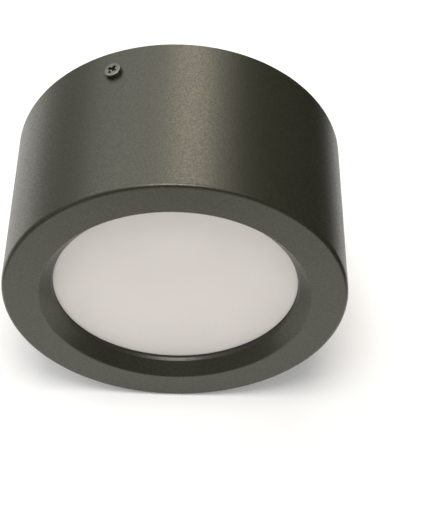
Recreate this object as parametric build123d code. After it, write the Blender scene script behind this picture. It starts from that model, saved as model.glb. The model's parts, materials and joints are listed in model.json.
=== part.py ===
from build123d import *
import os

# Surface-mounted round downlight, in millimetres.
# The origin is the centre of the ceiling face, +Z points up into the ceiling,
# and the lamp hangs below it with its light face down.

# Can: wall, face ring and rounds
CAN_RADIUS = 60.0
CAN_HEIGHT = 65.0
CAN_WALL = 2.0
FACE_THICKNESS = 2.5
FACE_EDGE_ROUND = 1.4
REAR_EDGE_ROUND = 0.3
INNER_CORNER_ROUND = 1.5

# Front opening: conical reveal, steeper lip and the collar behind it
OPENING_RADIUS = 47.3
OPENING_EDGE_ROUND = 1.0
REVEAL_WALL = 2.0
REVEAL_DEPTH = 4.55
REVEAL_EDGE_ROUND = 0.3
WINDOW_RADIUS = 42.85
LIP_THICKNESS = 1.1
LIP_FLARE = 0.5
COLLAR_WALL = 2.0
COLLAR_HEIGHT = 8.0

# Diffuser and its gasket
GASKET_THICKNESS = 1.0
GASKET_WIDTH = 2.4
DIFFUSER_THICKNESS = 2.0
DIFFUSER_LAP = 2.8
DIFFUSER_EDGE_ROUND = 0.3
POCKET_GAP = 0.3

# Reflector cone between diffuser and light board
REFLECTOR_HEIGHT = 16.0
REFLECTOR_WALL = 1.2
REFLECTOR_FLANGE = 1.2
REFLECTOR_GAP = 0.3

# Light board with rings of light-emitting packages
BOARD_RADIUS = 41.0
BOARD_THICKNESS = 1.6
BOARD_MARGIN = 1.0
LED_LENGTH = 3.5
LED_WIDTH = 2.8
LED_HEIGHT = 0.7
LED_WINDOW_RADIUS = 1.15
LED_WINDOW_DEPTH = 0.12
LED_MARGIN = 2.8
LED_RING_STEP = 11.0
LED_RING_COUNT = 3
LEDS_PER_RING_STEP = 6
BOARD_SCREW_COUNT = 4
BOARD_SCREW_ANGLE = 45.0
LEAD_HOLE_RADIUS = 3.5
THERMAL_THICKNESS = 0.5
THERMAL_MARGIN = 1.0

# Heat plate on the can's bosses
PLATE_THICKNESS = 2.0
PLATE_GAP = 0.6
BOSS_COUNT = 3
BOSS_ANGLE = 60.0
BOSS_RADIUS = 4.0
HEAD_WALL_GAP = 0.7
PLATE_SCREW_LENGTH = 8.0
PILOT_EXTRA = 1.0

# One family of pan-head screws with a cross recess
SCREW_RADIUS = 1.5
SCREW_HEAD_RADIUS = 3.0
SCREW_HEAD_HEIGHT = 1.3
SCREW_HEAD_ROUND = 0.3
SCREW_TIP_BEVEL = 0.4
RECESS_SPAN = 3.8
RECESS_ARM = 1.0
RECESS_DEPTH = 1.0
RECESS_TAPER = 12.0
THREAD_GAP = 0.05
SCREW_HOLE_GAP = 0.2
DECK_SCREW_STOP = 0.2

# Side screws, their pads on the can, seals and nut plates
SIDE_SCREW_DEPTH = 10.4
SIDE_SCREW_LENGTH = 10.0
SIDE_RECESS_ANGLE = 52.0
SCREW_PAD_WIDTH = 15.0
SCREW_PAD_HEIGHT = 12.0
SCREW_PAD_DEPTH = 1.0
SEAL_RADIUS = 2.7
SEAL_THICKNESS = 0.3
SEAL_ROUND = 0.1
SEAL_GAP = 0.05
NUT_PLATE_WIDTH = 10.0
NUT_PLATE_THICKNESS = 2.4
NUT_PLATE_DROP = 4.2
NUT_PLATE_TOP_GAP = 0.4
NUT_PLATE_GAP = 0.15

# Mounting strap: web under the ceiling, an ear down at each end
STRAP_THICKNESS = 1.5
STRAP_WIDTH = 22.0
STRAP_CORNER_ROUND = 4.0
STRAP_NECK = 9.0
EAR_WIDTH = 13.0
EAR_LENGTH = 17.0
EAR_CORNER_ROUND = 2.5
EAR_GAP = 0.2
BEND_RADIUS = 1.0
FIXING_SPACING = 70.0
FIXING_SLOT_LENGTH = 12.0
FIXING_SLOT_WIDTH = 4.5
CABLE_RADIUS = 4.5
BUSH_WALL = 1.5
BUSH_FLANGE_WIDTH = 2.0
BUSH_FLANGE_HEIGHT = 1.5
BUSH_ROUND = 0.5
BUSH_GAP = 0.05

# Driver case and what it holds
DRIVER_WALL_GAP = 3.2
DRIVER_WIDTH = 32.0
DRIVER_LENGTH = 62.0
DRIVER_HEIGHT = 22.0
DRIVER_SHELL = 1.6
DRIVER_FLOOR = 1.8
DRIVER_CORNER_ROUND = 2.5
DRIVER_TOP_ROUND = 1.0
DRIVER_LUG_WIDTH = 12.0
DRIVER_LUG_LENGTH = 9.0
DRIVER_RAIL_WALL = 1.2
DRIVER_RAIL_HEIGHT = 5.0
DRIVER_RAIL_GAP = 0.2
DRIVER_RAIL_INSET = 4.0
LABEL_RECESS_MARGIN = 6.0
LABEL_RECESS_DEPTH = 0.3
SNAP_LENGTH = 6.0
SNAP_HEIGHT = 1.6
SNAP_RISE = 2.2
SNAP_GAP = 0.2
SNAP_SPACING = 36.0
DRIVER_BOARD_THICKNESS = 1.2
DRIVER_BOARD_GAP = 0.3
DRIVER_POST_RADIUS = 2.0
DRIVER_POST_HEIGHT = 2.0
DRIVER_POST_INSET = 3.0
DRIVER_HEADROOM = 1.4
DRIVER_PART_INSET = 5.0
CORE_LENGTH = 20.0
CORE_WIDTH = 18.0
CORE_LIMB = 4.0
WINDING_RADIUS = 6.5
WINDING_OVERHANG = 2.0
CAPACITOR_RADIUS = 5.0
CAPACITOR_DROP = 1.0
CAPACITOR_ROUND = 0.6
CAPACITOR_GAP = 1.0
INDUCTOR_RADIUS = 5.0
INDUCTOR_HEIGHT = 9.0
INDUCTOR_WAIST = 3.6
INDUCTOR_FLANGE = 1.4

# Terminal block for the supply
SUPPLY_ROOM = 19.0
TERMINAL_WIDTH = 18.0
TERMINAL_HEIGHT = 15.0
TERMINAL_END_WALL = 1.0
TERMINAL_ROUND = 0.8
POLE_COUNT = 3
POLE_PITCH = 9.0
POLE_GROOVE_WIDTH = 1.6
POLE_GROOVE_DEPTH = 5.0
CLAMP_SIZE = 4.0
CLAMP_RECESS = 1.5
CLAMP_BORE_RADIUS = 1.4
CLAMP_GAP = 0.15
CLAMP_SCREW_SPACING = 9.0
CLAMP_SCREW_RADIUS = 1.0
CLAMP_SCREW_HEAD_RADIUS = 1.6
CLAMP_SCREW_HEAD_HEIGHT = 1.6
CLAMP_SCREW_STANDOFF = 0.6
CLAMP_SCREW_SLOT_WIDTH = 0.5
CLAMP_SCREW_SLOT_DEPTH = 0.8
CLAMP_SCREW_HOLE_GAP = 0.3
TERMINAL_SEAT_WALL = 0.85
TERMINAL_SCREW_HEAD_GAP = 0.3

# Earth tag on the heat plate
EARTH_INSET = 9.0
EARTH_WALL_GAP = 13.0
TAG_RADIUS = 3.6
TAG_THICKNESS = 0.8
TAG_NECK_WIDTH = 3.0
TAG_BARREL_RADIUS = 1.7
TAG_BARREL_LENGTH = 5.0
TAG_BARREL_START = 6.0

# Leads and the grommet in the heat plate
LEAD_HEIGHT = 6.5
MAINS_LEAD_RADIUS = 1.1
MAINS_CORE_RADIUS = 0.55
MAINS_CORE_LENGTH = 6.0
LAMP_LEAD_RADIUS = 0.8
LAMP_LEAD_SPREAD = 0.9
LAMP_LEAD_REACH = 7.0
LAMP_LEAD_BEND = 2.0
LEAD_INSET = 3.0
LEAD_HOLE_GAP = 0.2
GROMMET_BORE_RADIUS = 2.6
GROMMET_BODY_RADIUS = 4.4
GROMMET_FLANGE_RADIUS = 6.5
GROMMET_FLANGE_HEIGHT = 1.2
GROMMET_ROUND = 0.4
GROMMET_GAP = 0.05

# Lead routes: exits from the driver's middle line, loops beyond its ends,
# drops before the terminal block's face, and the bend at each corner
LIVE_EXIT = 7.0
LIVE_LOOP = 14.0
LIVE_DROP = 8.0
LIVE_BENDS = [11, 14, 7]
NEUTRAL_EXIT = 11.5
NEUTRAL_LOOP = 9.0
NEUTRAL_DROP = 12.0
NEUTRAL_BENDS = [8, 10, 10]
POSITIVE_EXIT = 7.0
POSITIVE_LOOP = 13.0
POSITIVE_BENDS = [11, 11]
NEGATIVE_EXIT = 11.0
NEGATIVE_LOOP = 9.0
NEGATIVE_BENDS = [7, 7]
EARTH_RAMP = 14.0
EARTH_BENDS = [8, 12]

# Radii that follow from the sizes above
INNER_RADIUS = CAN_RADIUS - CAN_WALL
LIP_FRONT_RADIUS = WINDOW_RADIUS + LIP_FLARE
DIFFUSER_RADIUS = WINDOW_RADIUS + DIFFUSER_LAP
POCKET_RADIUS = DIFFUSER_RADIUS + POCKET_GAP
COLLAR_RADIUS = POCKET_RADIUS + COLLAR_WALL
BOSS_CIRCLE = INNER_RADIUS - SCREW_HEAD_RADIUS - HEAD_WALL_GAP
REFLECTOR_TOP_RADIUS = BOARD_RADIUS - BOARD_MARGIN - REFLECTOR_WALL
LED_OUTER_RING = REFLECTOR_TOP_RADIUS - LED_MARGIN
BOARD_SCREW_CIRCLE = LED_OUTER_RING - LED_RING_STEP / 2
SCREW_HOLE_RADIUS = SCREW_RADIUS + SCREW_HOLE_GAP
TAPPED_RADIUS = SCREW_RADIUS + THREAD_GAP

# Levels that follow from the stack behind the face, from the face up
FACE_Z = -CAN_HEIGHT
FACE_BACK_Z = FACE_Z + FACE_THICKNESS
LIP_Z = FACE_Z + REVEAL_DEPTH
LIP_BACK_Z = LIP_Z + LIP_THICKNESS
COLLAR_Z = LIP_BACK_Z + COLLAR_HEIGHT
DIFFUSER_Z = LIP_BACK_Z + GASKET_THICKNESS
REFLECTOR_Z = DIFFUSER_Z + DIFFUSER_THICKNESS
BOARD_Z = REFLECTOR_Z + REFLECTOR_HEIGHT
THERMAL_Z = BOARD_Z + BOARD_THICKNESS
PLATE_Z = THERMAL_Z + THERMAL_THICKNESS
DECK_Z = PLATE_Z + PLATE_THICKNESS
LEAD_Z = DECK_Z + LEAD_HEIGHT

# Distances from the axis to the clamped layers at each side screw
PAD_FACE = INNER_RADIUS - SCREW_PAD_DEPTH
EAR_OUTER = PAD_FACE - EAR_GAP
EAR_INNER = EAR_OUTER - STRAP_THICKNESS
NUT_OUTER = EAR_INNER - NUT_PLATE_GAP
SEAL_INNER = CAN_RADIUS + SEAL_GAP
HEAD_SEAT = SEAL_INNER + SEAL_THICKNESS + SEAL_GAP

# Driver and terminal block places
DRIVER_END = DRIVER_LENGTH / 2
DRIVER_REACH = ((INNER_RADIUS - DRIVER_WALL_GAP) ** 2 - DRIVER_END ** 2) ** 0.5
DRIVER_X = DRIVER_WIDTH / 2 - DRIVER_REACH
DRIVER_LUG_Y = DRIVER_END + DRIVER_LUG_LENGTH / 2
DRIVER_FLOOR_Z = DECK_Z + DRIVER_FLOOR
DRIVER_BOARD_Z = DRIVER_FLOOR_Z + DRIVER_POST_HEIGHT
DRIVER_PARTS_Z = DRIVER_BOARD_Z + DRIVER_BOARD_THICKNESS
DRIVER_RAIL_OUTER = DRIVER_WIDTH / 2 - DRIVER_SHELL - DRIVER_RAIL_GAP
DRIVER_RAIL_INNER = DRIVER_RAIL_OUTER - DRIVER_RAIL_WALL
DRIVER_BOARD_WIDTH = 2 * (DRIVER_RAIL_INNER - DRIVER_BOARD_GAP)
DRIVER_BOARD_LENGTH = DRIVER_LENGTH - 2 * (DRIVER_SHELL + DRIVER_BOARD_GAP)
CORE_HEIGHT = DECK_Z + DRIVER_HEIGHT - DRIVER_SHELL - DRIVER_HEADROOM - DRIVER_PARTS_Z
CAPACITOR_HEIGHT = CORE_HEIGHT - CAPACITOR_DROP
TERMINAL_LENGTH = POLE_COUNT * POLE_PITCH + 2 * TERMINAL_END_WALL
TERMINAL_X = INNER_RADIUS - SUPPLY_ROOM - TERMINAL_WIDTH / 2
TERMINAL_FACE_X = TERMINAL_X - TERMINAL_WIDTH / 2
TERMINAL_SCREW_SEAT = LEAD_HEIGHT + CLAMP_SIZE / 2 + CLAMP_GAP + TERMINAL_SEAT_WALL
CLAMP_LENGTH = TERMINAL_WIDTH - 2 * CLAMP_RECESS
EARTH_X = TERMINAL_FACE_X - EARTH_INSET
EARTH_Y = EARTH_WALL_GAP - INNER_RADIUS
POLE_YS = [(pole - (POLE_COUNT - 1) / 2) * POLE_PITCH for pole in range(POLE_COUNT)]
GROOVE_YS = [(low + high) / 2 for low, high in zip(POLE_YS, POLE_YS[1:])]
EARTH_POLE_Y, NEUTRAL_POLE_Y, LIVE_POLE_Y = POLE_YS


def block(x_span, y_span, z_span):
    """Box between two values on each axis."""
    spans = (x_span, y_span, z_span)
    middle = [(low + high) / 2 for low, high in spans]
    size = [high - low for low, high in spans]
    return Pos(*middle) * Box(*size)


def disc(radius, low, high):
    """Upright cylinder on the Z axis between two levels."""
    return Pos(0, 0, (low + high) / 2) * Cylinder(radius, high - low)


def lathe(outline):
    """Solid turned about Z from (radius, level, corner round) points."""
    points = [(radius, 0, level) for radius, level, _ in outline]
    rounds = [corner for _, _, corner in outline]
    return revolve(make_face(FilletPolyline(*points, radius=rounds, close=True)), Axis.Z)


def on_circle(radius, count, start=0.0):
    """Places evenly spread on a circle about Z."""
    return [Rot(0, 0, start + 360 * step / count) * Pos(radius, 0, 0) for step in range(count)]


def pan_screw(length):
    """Screw along Z: head seat at level 0, head above it, shank below it."""
    head = lathe([
        (0, 0, 0),
        (SCREW_HEAD_RADIUS, 0, 0),
        (SCREW_HEAD_RADIUS, SCREW_HEAD_HEIGHT, SCREW_HEAD_ROUND),
        (0, SCREW_HEAD_HEIGHT, 0),
    ])
    shank = lathe([
        (0, 0, 0),
        (SCREW_RADIUS, 0, 0),
        (SCREW_RADIUS, SCREW_TIP_BEVEL - length, 0),
        (SCREW_RADIUS - SCREW_TIP_BEVEL, -length, 0),
        (0, -length, 0),
    ])
    cross = Rectangle(RECESS_SPAN, RECESS_ARM) + Rectangle(RECESS_ARM, RECESS_SPAN)
    recess = extrude(Pos(0, 0, SCREW_HEAD_HEIGHT) * cross, amount=-RECESS_DEPTH, taper=RECESS_TAPER)
    return head + shank - recess


def lead(route, bends, radius):
    """Round lead along straight runs joined by arcs."""
    path = FilletPolyline(*route, radius=bends)
    return sweep(Plane(origin=path @ 0, z_dir=path % 0) * Circle(radius), path)


def side_hole(radius, near, far):
    """Cylinder along Y at the side screws' level, on the -Y side of the axis."""
    middle = Pos(0, -(near + far) / 2, -SIDE_SCREW_DEPTH)
    return middle * Rot(90, 0, 0) * Cylinder(radius, far - near)


BOTH_SIDES = [Rot(0, 0, 0), Rot(0, 0, 180)]
BOSS_PLACES = on_circle(BOSS_CIRCLE, BOSS_COUNT, BOSS_ANGLE)
BOARD_SCREW_PLACES = on_circle(BOARD_SCREW_CIRCLE, BOARD_SCREW_COUNT, BOARD_SCREW_ANGLE)
DRIVER_SCREW_PLACES = [Pos(DRIVER_X, side * DRIVER_LUG_Y, 0) for side in (-1, 1)]
TERMINAL_SCREW_PLACES = [Pos(TERMINAL_X, y, 0) for y in GROOVE_YS]
EARTH_PLACE = Pos(EARTH_X, EARTH_Y, 0)


def housing():
    """Can with face ring, conical reveal, lip, collar, bosses and screw pads."""
    can = lathe([
        (CAN_RADIUS, 0, REAR_EDGE_ROUND),
        (CAN_RADIUS, FACE_Z, FACE_EDGE_ROUND),
        (OPENING_RADIUS, FACE_Z, OPENING_EDGE_ROUND),
        (LIP_FRONT_RADIUS, LIP_Z, REVEAL_EDGE_ROUND),
        (WINDOW_RADIUS, LIP_BACK_Z, 0),
        (POCKET_RADIUS, LIP_BACK_Z, 0),
        (POCKET_RADIUS, COLLAR_Z, 0),
        (COLLAR_RADIUS, COLLAR_Z, 0),
        (COLLAR_RADIUS, LIP_BACK_Z, 0),
        (OPENING_RADIUS + REVEAL_WALL, FACE_BACK_Z, 0),
        (INNER_RADIUS, FACE_BACK_Z, INNER_CORNER_ROUND),
        (INNER_RADIUS, 0, REAR_EDGE_ROUND),
    ])
    pocket = disc(POCKET_RADIUS, LIP_BACK_Z, PLATE_Z)
    pilot_z = DECK_Z - PLATE_SCREW_LENGTH - PILOT_EXTRA
    for place in BOSS_PLACES:
        boss = place * disc(BOSS_RADIUS, FACE_BACK_Z - CAN_WALL / 2, PLATE_Z)
        can += boss - pocket
    for place in BOSS_PLACES:
        can -= place * disc(TAPPED_RADIUS, pilot_z, PLATE_Z)
    wall_middle = CAN_RADIUS - CAN_WALL / 2
    pad_span = (-SIDE_SCREW_DEPTH - SCREW_PAD_HEIGHT / 2, -SIDE_SCREW_DEPTH + SCREW_PAD_HEIGHT / 2)
    pad = block((-SCREW_PAD_WIDTH / 2, SCREW_PAD_WIDTH / 2), (-CAN_RADIUS, -PAD_FACE), pad_span)
    pad &= disc(wall_middle, *pad_span)
    hole = side_hole(SCREW_HOLE_RADIUS, EAR_OUTER, CAN_RADIUS + CAN_WALL)
    for side in BOTH_SIDES:
        can = can + side * pad - side * hole
    return can


def diffuser():
    """Flat opal disc behind the lip."""
    return lathe([
        (0, DIFFUSER_Z, 0),
        (DIFFUSER_RADIUS, DIFFUSER_Z, DIFFUSER_EDGE_ROUND),
        (DIFFUSER_RADIUS, REFLECTOR_Z, DIFFUSER_EDGE_ROUND),
        (0, REFLECTOR_Z, 0),
    ])


def diffuser_gasket():
    """Flat ring between lip and diffuser, flush with the lip's edge."""
    outer = disc(WINDOW_RADIUS + GASKET_WIDTH, LIP_BACK_Z, DIFFUSER_Z)
    return outer - disc(WINDOW_RADIUS, LIP_BACK_Z, DIFFUSER_Z)


def reflector():
    """White cone with a foot flange that presses the diffuser on its gasket."""
    foot_radius = DIFFUSER_RADIUS - REFLECTOR_GAP
    neck_radius = WINDOW_RADIUS + REFLECTOR_WALL
    return lathe([
        (WINDOW_RADIUS, REFLECTOR_Z, 0),
        (foot_radius, REFLECTOR_Z, 0),
        (foot_radius, REFLECTOR_Z + REFLECTOR_FLANGE, 0),
        (neck_radius, REFLECTOR_Z + REFLECTOR_FLANGE, 0),
        (REFLECTOR_TOP_RADIUS + REFLECTOR_WALL, BOARD_Z, 0),
        (REFLECTOR_TOP_RADIUS, BOARD_Z, 0),
    ])


def led_board():
    """Round metal-core board with a lead hole and screw holes."""
    board = disc(BOARD_RADIUS, BOARD_Z, THERMAL_Z) - disc(LEAD_HOLE_RADIUS, BOARD_Z, THERMAL_Z)
    for place in BOARD_SCREW_PLACES:
        board -= place * disc(SCREW_HOLE_RADIUS, BOARD_Z, THERMAL_Z)
    return board


def leds():
    """Rings of surface-mounted packages on the front of the board."""
    front = BOARD_Z - LED_HEIGHT
    package = block((-LED_LENGTH / 2, LED_LENGTH / 2), (-LED_WIDTH / 2, LED_WIDTH / 2), (front, BOARD_Z))
    package -= disc(LED_WINDOW_RADIUS, front, front + LED_WINDOW_DEPTH)
    packages = []
    for ring in range(LED_RING_COUNT):
        count = LEDS_PER_RING_STEP * (LED_RING_COUNT - ring)
        packages += [place * package for place in on_circle(LED_OUTER_RING - ring * LED_RING_STEP, count)]
    return packages


def thermal_pad():
    """Soft pad between board and heat plate."""
    pad = disc(BOARD_RADIUS - THERMAL_MARGIN, THERMAL_Z, PLATE_Z)
    pad -= disc(GROMMET_BODY_RADIUS, THERMAL_Z, PLATE_Z)
    for place in BOARD_SCREW_PLACES:
        pad -= place * disc(SCREW_HOLE_RADIUS, THERMAL_Z, PLATE_Z)
    return pad


def heat_plate():
    """Round plate with holes for its own screws, the gear's screws and the lead grommet."""
    plate = disc(INNER_RADIUS - PLATE_GAP, PLATE_Z, DECK_Z)
    plate -= disc(GROMMET_BODY_RADIUS + GROMMET_GAP, PLATE_Z, DECK_Z)
    for place in BOSS_PLACES:
        plate -= place * disc(SCREW_HOLE_RADIUS, PLATE_Z, DECK_Z)
    for place in BOARD_SCREW_PLACES + DRIVER_SCREW_PLACES + TERMINAL_SCREW_PLACES + [EARTH_PLACE]:
        plate -= place * disc(TAPPED_RADIUS, PLATE_Z, DECK_Z)
    return plate


def plate_screws():
    """Screws that hold the heat plate on the bosses."""
    return [place * Pos(0, 0, DECK_Z) * pan_screw(PLATE_SCREW_LENGTH) for place in BOSS_PLACES]


def board_screws():
    """Screws from the front that hold the light board on the heat plate."""
    length = BOARD_THICKNESS + THERMAL_THICKNESS + PLATE_THICKNESS - DECK_SCREW_STOP
    screw = Pos(0, 0, BOARD_Z) * Rot(180, 0, 0) * pan_screw(length)
    return [place * screw for place in BOARD_SCREW_PLACES]


def deck_screw(seat):
    """Screw whose head sits a height above the plate and whose tip stays inside it."""
    return Pos(0, 0, DECK_Z + seat) * pan_screw(seat + PLATE_THICKNESS - DECK_SCREW_STOP)


def lead_grommet():
    """Flanged grommet in the heat plate's lead hole."""
    return lathe([
        (GROMMET_BORE_RADIUS, PLATE_Z, 0),
        (GROMMET_BODY_RADIUS, PLATE_Z, 0),
        (GROMMET_BODY_RADIUS, DECK_Z, 0),
        (GROMMET_FLANGE_RADIUS, DECK_Z, 0),
        (GROMMET_FLANGE_RADIUS, DECK_Z + GROMMET_FLANGE_HEIGHT, GROMMET_ROUND),
        (GROMMET_BORE_RADIUS, DECK_Z + GROMMET_FLANGE_HEIGHT, GROMMET_ROUND),
    ])


def snap_blocks(reach, margin):
    """Snap tongues of the driver case, or with a margin the windows they stand in."""
    low = DRIVER_FLOOR_Z + SNAP_RISE
    blocks = []
    for side in (-1, 1):
        x_span = sorted((DRIVER_X + side * DRIVER_RAIL_INNER, DRIVER_X + side * reach))
        for y in (-SNAP_SPACING / 2, SNAP_SPACING / 2):
            y_span = (y - SNAP_LENGTH / 2 - margin, y + SNAP_LENGTH / 2 + margin)
            blocks.append(block(x_span, y_span, (low - margin, low + SNAP_HEIGHT + margin)))
    return blocks


def driver_base():
    """Driver floor with two screw lugs, side rails with snap tongues, and board posts."""
    half = DRIVER_WIDTH / 2
    base = block((DRIVER_X - half, DRIVER_X + half), (-DRIVER_END, DRIVER_END), (DECK_Z, DRIVER_FLOOR_Z))
    base = fillet(base.edges().filter_by(Axis.Z), DRIVER_CORNER_ROUND)
    lug_half = DRIVER_LUG_WIDTH / 2
    lug_end = DRIVER_END + DRIVER_LUG_LENGTH
    lugs = block((DRIVER_X - lug_half, DRIVER_X + lug_half), (-lug_end, lug_end), (DECK_Z, DRIVER_FLOOR_Z))
    base += fillet(lugs.edges().filter_by(Axis.Z), DRIVER_CORNER_ROUND)
    for place in DRIVER_SCREW_PLACES:
        base -= place * disc(SCREW_HOLE_RADIUS, DECK_Z, DRIVER_FLOOR_Z)
    rail_end = DRIVER_END - DRIVER_SHELL - DRIVER_RAIL_INSET
    for side in (-1, 1):
        x_span = sorted((DRIVER_X + side * DRIVER_RAIL_INNER, DRIVER_X + side * DRIVER_RAIL_OUTER))
        base += block(x_span, (-rail_end, rail_end), (DECK_Z, DRIVER_FLOOR_Z + DRIVER_RAIL_HEIGHT))
    post_x = DRIVER_BOARD_WIDTH / 2 - DRIVER_POST_INSET
    post_y = DRIVER_BOARD_LENGTH / 2 - DRIVER_POST_INSET
    for place in GridLocations(2 * post_x, 2 * post_y, 2, 2):
        base += Pos(DRIVER_X, 0, 0) * place * disc(DRIVER_POST_RADIUS, DECK_Z, DRIVER_BOARD_Z)
    for tongue in snap_blocks(half, 0):
        base += tongue
    return base


def driver_cover():
    """Driver lid with lead holes at both ends, snap windows and a bare label recess."""
    half = DRIVER_WIDTH / 2
    top = DECK_Z + DRIVER_HEIGHT
    cover = block((DRIVER_X - half, DRIVER_X + half), (-DRIVER_END, DRIVER_END), (DRIVER_FLOOR_Z, top))
    cover = fillet(cover.edges().filter_by(Axis.Z), DRIVER_CORNER_ROUND)
    cover = fillet(cover.faces().sort_by(Axis.Z)[-1].edges(), DRIVER_TOP_ROUND)
    for inset, low, high in (
        (DRIVER_SHELL, DRIVER_FLOOR_Z, top - DRIVER_SHELL),
        (LABEL_RECESS_MARGIN, top - LABEL_RECESS_DEPTH, top),
    ):
        x_span = (DRIVER_X - half + inset, DRIVER_X + half - inset)
        cover -= block(x_span, (inset - DRIVER_END, DRIVER_END - inset), (low, high))
    exits = [
        (LIVE_EXIT, 1, MAINS_LEAD_RADIUS),
        (NEUTRAL_EXIT, 1, MAINS_LEAD_RADIUS),
        (POSITIVE_EXIT, -1, LAMP_LEAD_RADIUS),
        (NEGATIVE_EXIT, -1, LAMP_LEAD_RADIUS),
    ]
    for offset, end, radius in exits:
        drill = Rot(90, 0, 0) * Cylinder(radius + LEAD_HOLE_GAP, 2 * (DRIVER_SHELL + LEAD_INSET))
        cover -= Pos(DRIVER_X + offset, end * DRIVER_END, LEAD_Z) * drill
    for window in snap_blocks(half, SNAP_GAP):
        cover -= window
    return cover


def driver_board():
    """Bare board on the driver's posts."""
    half = DRIVER_BOARD_WIDTH / 2
    end = DRIVER_BOARD_LENGTH / 2
    return block((DRIVER_X - half, DRIVER_X + half), (-end, end), (DRIVER_BOARD_Z, DRIVER_PARTS_Z))


def driver_transformer():
    """Ferrite core with its winding between the limbs."""
    core = block((-CORE_WIDTH / 2, CORE_WIDTH / 2), (-CORE_LENGTH / 2, CORE_LENGTH / 2), (0, CORE_HEIGHT))
    window = CORE_LENGTH / 2 - CORE_LIMB
    core -= block((-CORE_WIDTH / 2, CORE_WIDTH / 2), (-window, window), (CORE_LIMB, CORE_HEIGHT - CORE_LIMB))
    winding_half = CORE_WIDTH / 2 + WINDING_OVERHANG
    winding = Pos(0, 0, CORE_HEIGHT / 2) * Rot(0, 90, 0) * Cylinder(WINDING_RADIUS, 2 * winding_half)
    winding &= block((-winding_half, winding_half), (-window, window), (0, CORE_HEIGHT))
    return Pos(DRIVER_X, 0, DRIVER_PARTS_Z) * (core + winding)


def driver_capacitors():
    """Two upright capacitors at the supply end of the driver."""
    can = lathe([
        (0, DRIVER_PARTS_Z, 0),
        (CAPACITOR_RADIUS, DRIVER_PARTS_Z, CAPACITOR_ROUND),
        (CAPACITOR_RADIUS, DRIVER_PARTS_Z + CAPACITOR_HEIGHT, CAPACITOR_ROUND),
        (0, DRIVER_PARTS_Z + CAPACITOR_HEIGHT, 0),
    ])
    offset = CAPACITOR_RADIUS + CAPACITOR_GAP / 2
    place_y = DRIVER_BOARD_LENGTH / 2 - DRIVER_PART_INSET - CAPACITOR_RADIUS
    return [Pos(DRIVER_X + x, place_y, 0) * can for x in (-offset, offset)]


def driver_inductor():
    """Drum coil at the lamp end of the driver."""
    top = DRIVER_PARTS_Z + INDUCTOR_HEIGHT
    drum = lathe([
        (0, DRIVER_PARTS_Z, 0),
        (INDUCTOR_RADIUS, DRIVER_PARTS_Z, 0),
        (INDUCTOR_RADIUS, DRIVER_PARTS_Z + INDUCTOR_FLANGE, 0),
        (INDUCTOR_WAIST, DRIVER_PARTS_Z + INDUCTOR_FLANGE, 0),
        (INDUCTOR_WAIST, top - INDUCTOR_FLANGE, 0),
        (INDUCTOR_RADIUS, top - INDUCTOR_FLANGE, 0),
        (INDUCTOR_RADIUS, top, 0),
        (0, top, 0),
    ])
    place_y = DRIVER_BOARD_LENGTH / 2 - DRIVER_PART_INSET - INDUCTOR_RADIUS
    return Pos(DRIVER_X, -place_y, 0) * drum


def driver_screws():
    """Screws through the driver's lugs."""
    return [place * deck_screw(DRIVER_FLOOR) for place in DRIVER_SCREW_PLACES]


def clamp_screw_places():
    """Places of the clamping screws, two on each pole."""
    offsets = (-CLAMP_SCREW_SPACING / 2, CLAMP_SCREW_SPACING / 2)
    return [Pos(TERMINAL_X + x, y, LEAD_Z) for y in POLE_YS for x in offsets]


def terminal_block():
    """Moulded block with a channel for each clamp, grooves between poles and screw wells."""
    half = TERMINAL_WIDTH / 2
    end = TERMINAL_LENGTH / 2
    top = DECK_Z + TERMINAL_HEIGHT
    x_span = (TERMINAL_X - half, TERMINAL_X + half)
    body = block(x_span, (-end, end), (DECK_Z, top))
    body = fillet(body.edges().filter_by(Axis.Z), TERMINAL_ROUND)
    channel = CLAMP_SIZE / 2 + CLAMP_GAP
    for y in POLE_YS:
        body -= block(x_span, (y - channel, y + channel), (LEAD_Z - channel, LEAD_Z + channel))
    groove = POLE_GROOVE_WIDTH / 2
    for y in GROOVE_YS:
        body -= block(x_span, (y - groove, y + groove), (top - POLE_GROOVE_DEPTH, top))
    for place in TERMINAL_SCREW_PLACES:
        body -= place * disc(SCREW_HOLE_RADIUS, DECK_Z, top)
        well = SCREW_HEAD_RADIUS + TERMINAL_SCREW_HEAD_GAP
        body -= place * disc(well, DECK_Z + TERMINAL_SCREW_SEAT, top)
    for place in clamp_screw_places():
        body -= place * disc(CLAMP_SCREW_HEAD_RADIUS + CLAMP_SCREW_HOLE_GAP, 0, top - LEAD_Z)
    return body


def terminal_clamps():
    """Square brass tubes, each with a bore for the wires and two screw holes."""
    half = CLAMP_SIZE / 2
    x_span = (TERMINAL_X - CLAMP_LENGTH / 2, TERMINAL_X + CLAMP_LENGTH / 2)
    bore = Rot(0, 90, 0) * Cylinder(CLAMP_BORE_RADIUS, CLAMP_LENGTH)
    clamps = []
    for y in POLE_YS:
        clamp = block(x_span, (y - half, y + half), (LEAD_Z - half, LEAD_Z + half))
        clamp -= Pos(TERMINAL_X, y, LEAD_Z) * bore
        for x in (-CLAMP_SCREW_SPACING / 2, CLAMP_SCREW_SPACING / 2):
            clamp -= Pos(TERMINAL_X + x, y, LEAD_Z) * disc(CLAMP_SCREW_RADIUS + THREAD_GAP, 0, half)
        clamps.append(clamp)
    return clamps


def terminal_screws():
    """Slotted clamping screws, standing just above the wires."""
    tip = MAINS_CORE_RADIUS + THREAD_GAP
    seat = CLAMP_SIZE / 2 + CLAMP_SCREW_STANDOFF
    top = seat + CLAMP_SCREW_HEAD_HEIGHT
    screw = disc(CLAMP_SCREW_RADIUS, tip, seat) + disc(CLAMP_SCREW_HEAD_RADIUS, seat, top)
    slot = CLAMP_SCREW_SLOT_WIDTH / 2
    reach = CLAMP_SCREW_HEAD_RADIUS
    screw -= block((-slot, slot), (-reach, reach), (top - CLAMP_SCREW_SLOT_DEPTH, top))
    return [place * screw for place in clamp_screw_places()]


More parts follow.
